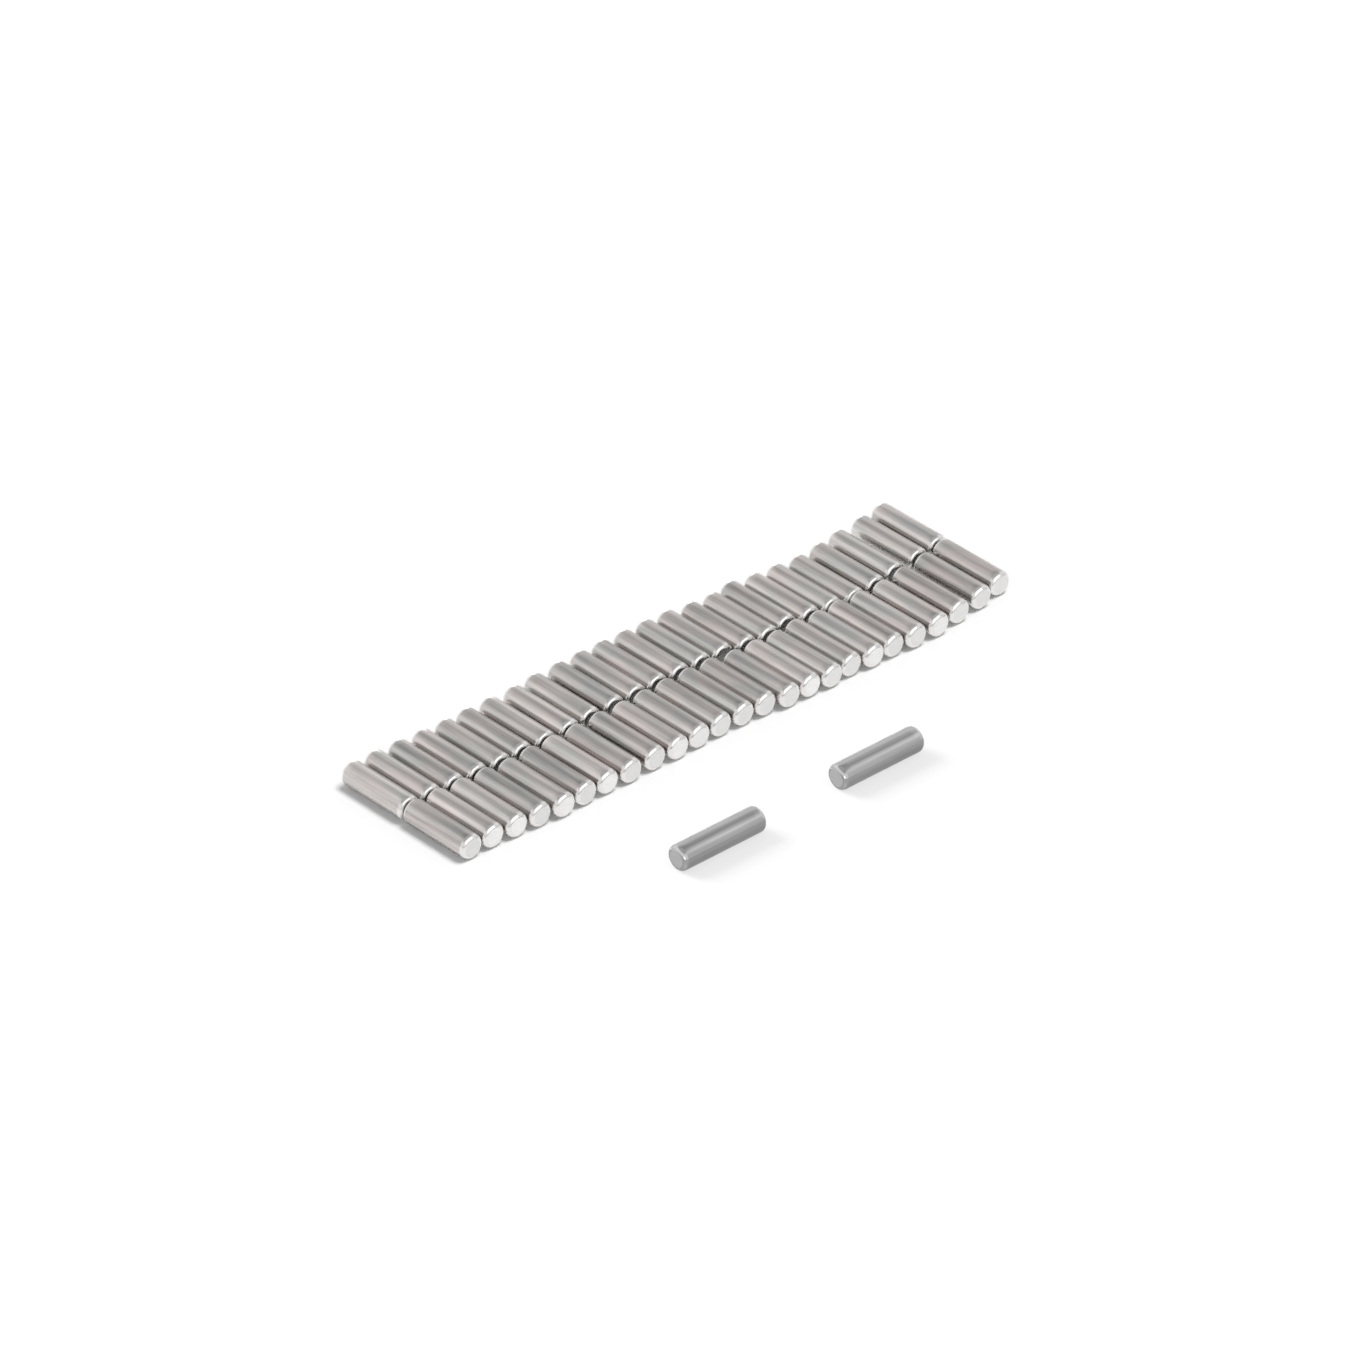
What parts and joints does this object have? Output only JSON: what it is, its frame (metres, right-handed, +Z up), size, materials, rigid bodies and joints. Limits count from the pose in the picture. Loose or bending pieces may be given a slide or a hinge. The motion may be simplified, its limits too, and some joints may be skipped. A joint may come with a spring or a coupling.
{
  "type": "needle roller set",
  "caption": "Loose cylindrical needle rollers with flat ends for a needle roller bearing, laid side by side in two rows, with two longer rollers lying apart.",
  "frame": {"origin": "on the surface that the rollers lie on, under the middle of the whole set", "axes": "+X along the two rows, towards their right end; +Y from the loose rollers towards the rows; +Z up. The row rollers' axes lie along Y and the loose rollers' along X."},
  "size_m": [0.0802, 0.0374, 0.003],
  "materials": {
    "row_roller_steel": "ground and lightly oiled, satin",
    "loose_roller_steel": "ground and dry, brighter satin"
  },
  "bodies": {
    "back_roller_13": {"back_roller_13": "row_roller_steel"},
    "back_roller_01": {"back_roller_01": "row_roller_steel"},
    "back_roller_02": {"back_roller_02": "row_roller_steel"},
    "back_roller_03": {"back_roller_03": "row_roller_steel"},
    "back_roller_04": {"back_roller_04": "row_roller_steel"},
    "back_roller_05": {"back_roller_05": "row_roller_steel"},
    "back_roller_06": {"back_roller_06": "row_roller_steel"},
    "back_roller_07": {"back_roller_07": "row_roller_steel"},
    "back_roller_08": {"back_roller_08": "row_roller_steel"},
    "back_roller_09": {"back_roller_09": "row_roller_steel"},
    "back_roller_10": {"back_roller_10": "row_roller_steel"},
    "back_roller_11": {"back_roller_11": "row_roller_steel"},
    "back_roller_12": {"back_roller_12": "row_roller_steel"},
    "back_roller_14": {"back_roller_14": "row_roller_steel"},
    "back_roller_15": {"back_roller_15": "row_roller_steel"},
    "back_roller_16": {"back_roller_16": "row_roller_steel"},
    "back_roller_17": {"back_roller_17": "row_roller_steel"},
    "back_roller_18": {"back_roller_18": "row_roller_steel"},
    "back_roller_19": {"back_roller_19": "row_roller_steel"},
    "back_roller_20": {"back_roller_20": "row_roller_steel"},
    "back_roller_21": {"back_roller_21": "row_roller_steel"},
    "back_roller_22": {"back_roller_22": "row_roller_steel"},
    "back_roller_23": {"back_roller_23": "row_roller_steel"},
    "back_roller_24": {"back_roller_24": "row_roller_steel"},
    "back_roller_25": {"back_roller_25": "row_roller_steel"},
    "front_roller_01": {"front_roller_01": "row_roller_steel"},
    "front_roller_02": {"front_roller_02": "row_roller_steel"},
    "front_roller_03": {"front_roller_03": "row_roller_steel"},
    "front_roller_04": {"front_roller_04": "row_roller_steel"},
    "front_roller_05": {"front_roller_05": "row_roller_steel"},
    "front_roller_06": {"front_roller_06": "row_roller_steel"},
    "front_roller_07": {"front_roller_07": "row_roller_steel"},
    "front_roller_08": {"front_roller_08": "row_roller_steel"},
    "front_roller_09": {"front_roller_09": "row_roller_steel"},
    "front_roller_10": {"front_roller_10": "row_roller_steel"},
    "front_roller_11": {"front_roller_11": "row_roller_steel"},
    "front_roller_12": {"front_roller_12": "row_roller_steel"},
    "front_roller_13": {"front_roller_13": "row_roller_steel"},
    "front_roller_14": {"front_roller_14": "row_roller_steel"},
    "front_roller_15": {"front_roller_15": "row_roller_steel"},
    "front_roller_16": {"front_roller_16": "row_roller_steel"},
    "front_roller_17": {"front_roller_17": "row_roller_steel"},
    "front_roller_18": {"front_roller_18": "row_roller_steel"},
    "front_roller_19": {"front_roller_19": "row_roller_steel"},
    "front_roller_20": {"front_roller_20": "row_roller_steel"},
    "front_roller_21": {"front_roller_21": "row_roller_steel"},
    "front_roller_22": {"front_roller_22": "row_roller_steel"},
    "front_roller_23": {"front_roller_23": "row_roller_steel"},
    "front_roller_24": {"front_roller_24": "row_roller_steel"},
    "front_roller_25": {"front_roller_25": "row_roller_steel"},
    "loose_roller_left": {"loose_roller_left": "loose_roller_steel"},
    "loose_roller_right": {"loose_roller_right": "loose_roller_steel"}
  },
  "joints": [
    {"name": "back_roll_01", "type": "hinge", "parent": "back_roller_13", "child": "back_roller_01", "pos_m": [-0.03862, 0.01367, 0.0015], "axis": [0, 1, 0], "continuous": true},
    {"name": "back_roll_02", "type": "hinge", "parent": "back_roller_13", "child": "back_roller_02", "pos_m": [-0.03546, 0.01375, 0.0015], "axis": [0, 1, 0], "continuous": true},
    {"name": "back_roll_03", "type": "hinge", "parent": "back_roller_13", "child": "back_roller_03", "pos_m": [-0.03227, 0.01361, 0.0015], "axis": [0, 1, 0], "continuous": true},
    {"name": "back_roll_04", "type": "hinge", "parent": "back_roller_13", "child": "back_roller_04", "pos_m": [-0.0291, 0.01345, 0.0015], "axis": [0, 1, 0], "continuous": true},
    {"name": "back_roll_05", "type": "hinge", "parent": "back_roller_13", "child": "back_roller_05", "pos_m": [-0.02599, 0.01327, 0.0015], "axis": [0, 1, 0], "continuous": true},
    {"name": "back_roll_06", "type": "hinge", "parent": "back_roller_13", "child": "back_roller_06", "pos_m": [-0.02285, 0.0134, 0.0015], "axis": [0, 1, 0], "continuous": true},
    {"name": "back_roll_07", "type": "hinge", "parent": "back_roller_13", "child": "back_roller_07", "pos_m": [-0.01956, 0.01333, 0.0015], "axis": [0, 1, 0], "continuous": true},
    {"name": "back_roll_08", "type": "hinge", "parent": "back_roller_13", "child": "back_roller_08", "pos_m": [-0.01614, 0.01329, 0.0015], "axis": [0, 1, 0], "continuous": true},
    {"name": "back_roll_09", "type": "hinge", "parent": "back_roller_13", "child": "back_roller_09", "pos_m": [-0.01291, 0.01358, 0.0015], "axis": [0, 1, 0], "continuous": true},
    {"name": "back_roll_10", "type": "hinge", "parent": "back_roller_13", "child": "back_roller_10", "pos_m": [-0.00948, 0.01358, 0.0015], "axis": [0, 1, 0], "continuous": true},
    {"name": "back_roll_11", "type": "hinge", "parent": "back_roller_13", "child": "back_roller_11", "pos_m": [-0.00625, 0.01364, 0.0015], "axis": [0, 1, 0], "continuous": true},
    {"name": "back_roll_12", "type": "hinge", "parent": "back_roller_13", "child": "back_roller_12", "pos_m": [-0.00314, 0.01364, 0.0015], "axis": [0, 1, 0], "continuous": true},
    {"name": "back_roll_14", "type": "hinge", "parent": "back_roller_13", "child": "back_roller_14", "pos_m": [0.00317, 0.01353, 0.0015], "axis": [0, 1, 0], "continuous": true},
    {"name": "back_roll_15", "type": "hinge", "parent": "back_roller_13", "child": "back_roller_15", "pos_m": [0.00622, 0.01341, 0.0015], "axis": [0, 1, 0], "continuous": true},
    {"name": "back_roll_16", "type": "hinge", "parent": "back_roller_13", "child": "back_roller_16", "pos_m": [0.00926, 0.0129, 0.0015], "axis": [0, 1, 0], "continuous": true},
    {"name": "back_roll_17", "type": "hinge", "parent": "back_roller_13", "child": "back_roller_17", "pos_m": [0.01229, 0.0127, 0.0015], "axis": [0, 1, 0], "continuous": true},
    {"name": "back_roll_18", "type": "hinge", "parent": "back_roller_13", "child": "back_roller_18", "pos_m": [0.01533, 0.01311, 0.0015], "axis": [0, 1, 0], "continuous": true},
    {"name": "back_roll_19", "type": "hinge", "parent": "back_roller_13", "child": "back_roller_19", "pos_m": [0.01837, 0.01259, 0.0015], "axis": [0, 1, 0], "continuous": true},
    {"name": "back_roll_20", "type": "hinge", "parent": "back_roller_13", "child": "back_roller_20", "pos_m": [0.0214, 0.01233, 0.0015], "axis": [0, 1, 0], "continuous": true},
    {"name": "back_roll_21", "type": "hinge", "parent": "back_roller_13", "child": "back_roller_21", "pos_m": [0.0245, 0.01203, 0.0015], "axis": [0, 1, 0], "continuous": true},
    {"name": "back_roll_22", "type": "hinge", "parent": "back_roller_13", "child": "back_roller_22", "pos_m": [0.0279, 0.01234, 0.0015], "axis": [0, 1, 0], "continuous": true},
    {"name": "back_roll_23", "type": "hinge", "parent": "back_roller_13", "child": "back_roller_23", "pos_m": [0.03127, 0.01289, 0.0015], "axis": [0, 1, 0], "continuous": true},
    {"name": "back_roll_24", "type": "hinge", "parent": "back_roller_13", "child": "back_roller_24", "pos_m": [0.03521, 0.0133, 0.0015], "axis": [0, 1, 0], "continuous": true},
    {"name": "back_roll_25", "type": "hinge", "parent": "back_roller_13", "child": "back_roller_25", "pos_m": [0.03862, 0.01377, 0.0015], "axis": [0, 1, 0], "continuous": true},
    {"name": "front_roll_01", "type": "hinge", "parent": "back_roller_13", "child": "front_roller_01", "pos_m": [-0.03857, 0.0037, 0.0015], "axis": [0, 1, 0], "continuous": true},
    {"name": "front_roll_02", "type": "hinge", "parent": "back_roller_13", "child": "front_roller_02", "pos_m": [-0.03543, 0.00373, 0.0015], "axis": [0, 1, 0], "continuous": true},
    {"name": "front_roll_03", "type": "hinge", "parent": "back_roller_13", "child": "front_roller_03", "pos_m": [-0.03227, 0.00354, 0.0015], "axis": [0, 1, 0], "continuous": true},
    {"name": "front_roll_04", "type": "hinge", "parent": "back_roller_13", "child": "front_roller_04", "pos_m": [-0.0291, 0.00335, 0.0015], "axis": [0, 1, 0], "continuous": true},
    {"name": "front_roll_05", "type": "hinge", "parent": "back_roller_13", "child": "front_roller_05", "pos_m": [-0.02599, 0.00303, 0.0015], "axis": [0, 1, 0], "continuous": true},
    {"name": "front_roll_06", "type": "hinge", "parent": "back_roller_13", "child": "front_roller_06", "pos_m": [-0.02278, 0.00322, 0.0015], "axis": [0, 1, 0], "continuous": true},
    {"name": "front_roll_07", "type": "hinge", "parent": "back_roller_13", "child": "front_roller_07", "pos_m": [-0.01961, 0.00324, 0.0015], "axis": [0, 1, 0], "continuous": true},
    {"name": "front_roll_08", "type": "hinge", "parent": "back_roller_13", "child": "front_roller_08", "pos_m": [-0.01633, 0.00318, 0.0015], "axis": [0, 1, 0], "continuous": true},
    {"name": "front_roll_09", "type": "hinge", "parent": "back_roller_13", "child": "front_roller_09", "pos_m": [-0.01282, 0.0033, 0.0015], "axis": [0, 1, 0], "continuous": true},
    {"name": "front_roll_10", "type": "hinge", "parent": "back_roller_13", "child": "front_roller_10", "pos_m": [-0.00957, 0.00318, 0.0015], "axis": [0, 1, 0], "continuous": true},
    {"name": "front_roll_11", "type": "hinge", "parent": "back_roller_13", "child": "front_roller_11", "pos_m": [-0.00639, 0.00331, 0.0015], "axis": [0, 1, 0], "continuous": true},
    {"name": "front_roll_12", "type": "hinge", "parent": "back_roller_13", "child": "front_roller_12", "pos_m": [-0.00318, 0.00339, 0.0015], "axis": [0, 1, 0], "continuous": true},
    {"name": "front_roll_13", "type": "hinge", "parent": "back_roller_13", "child": "front_roller_13", "pos_m": [0.00008, 0.00333, 0.0015], "axis": [0, 1, 0], "continuous": true},
    {"name": "front_roll_14", "type": "hinge", "parent": "back_roller_13", "child": "front_roller_14", "pos_m": [0.00317, 0.00319, 0.0015], "axis": [0, 1, 0], "continuous": true},
    {"name": "front_roll_15", "type": "hinge", "parent": "back_roller_13", "child": "front_roller_15", "pos_m": [0.00622, 0.00267, 0.0015], "axis": [0, 1, 0], "continuous": true},
    {"name": "front_roll_16", "type": "hinge", "parent": "back_roller_13", "child": "front_roller_16", "pos_m": [0.00926, 0.00264, 0.0015], "axis": [0, 1, 0], "continuous": true},
    {"name": "front_roll_17", "type": "hinge", "parent": "back_roller_13", "child": "front_roller_17", "pos_m": [0.01229, 0.00245, 0.0015], "axis": [0, 1, 0], "continuous": true},
    {"name": "front_roll_18", "type": "hinge", "parent": "back_roller_13", "child": "front_roller_18", "pos_m": [0.01533, 0.00271, 0.0015], "axis": [0, 1, 0], "continuous": true},
    {"name": "front_roll_19", "type": "hinge", "parent": "back_roller_13", "child": "front_roller_19", "pos_m": [0.01837, 0.00236, 0.0015], "axis": [0, 1, 0], "continuous": true},
    {"name": "front_roll_20", "type": "hinge", "parent": "back_roller_13", "child": "front_roller_20", "pos_m": [0.02141, 0.00242, 0.0015], "axis": [0, 1, 0], "continuous": true},
    {"name": "front_roll_21", "type": "hinge", "parent": "back_roller_13", "child": "front_roller_21", "pos_m": [0.02446, 0.00215, 0.0015], "axis": [0, 1, 0], "continuous": true},
    {"name": "front_roll_22", "type": "hinge", "parent": "back_roller_13", "child": "front_roller_22", "pos_m": [0.02783, 0.00215, 0.0015], "axis": [0, 1, 0], "continuous": true},
    {"name": "front_roll_23", "type": "hinge", "parent": "back_roller_13", "child": "front_roller_23", "pos_m": [0.03134, 0.00261, 0.0015], "axis": [0, 1, 0], "continuous": true},
    {"name": "front_roll_24", "type": "hinge", "parent": "back_roller_13", "child": "front_roller_24", "pos_m": [0.0351, 0.00308, 0.0015], "axis": [0, 1, 0], "continuous": true},
    {"name": "front_roll_25", "type": "hinge", "parent": "back_roller_13", "child": "front_roller_25", "pos_m": [0.03853, 0.00375, 0.0015], "axis": [0, 1, 0], "continuous": true},
    {"name": "loose_roll_left", "type": "hinge", "parent": "back_roller_13", "child": "loose_roller_left", "pos_m": [-0.01825, -0.01717, 0.0015], "axis": [1, 0, 0], "continuous": true},
    {"name": "loose_roll_right", "type": "hinge", "parent": "back_roller_13", "child": "loose_roller_right", "pos_m": [0.00475, -0.01717, 0.0015], "axis": [1, 0, 0], "continuous": true}
  ]
}
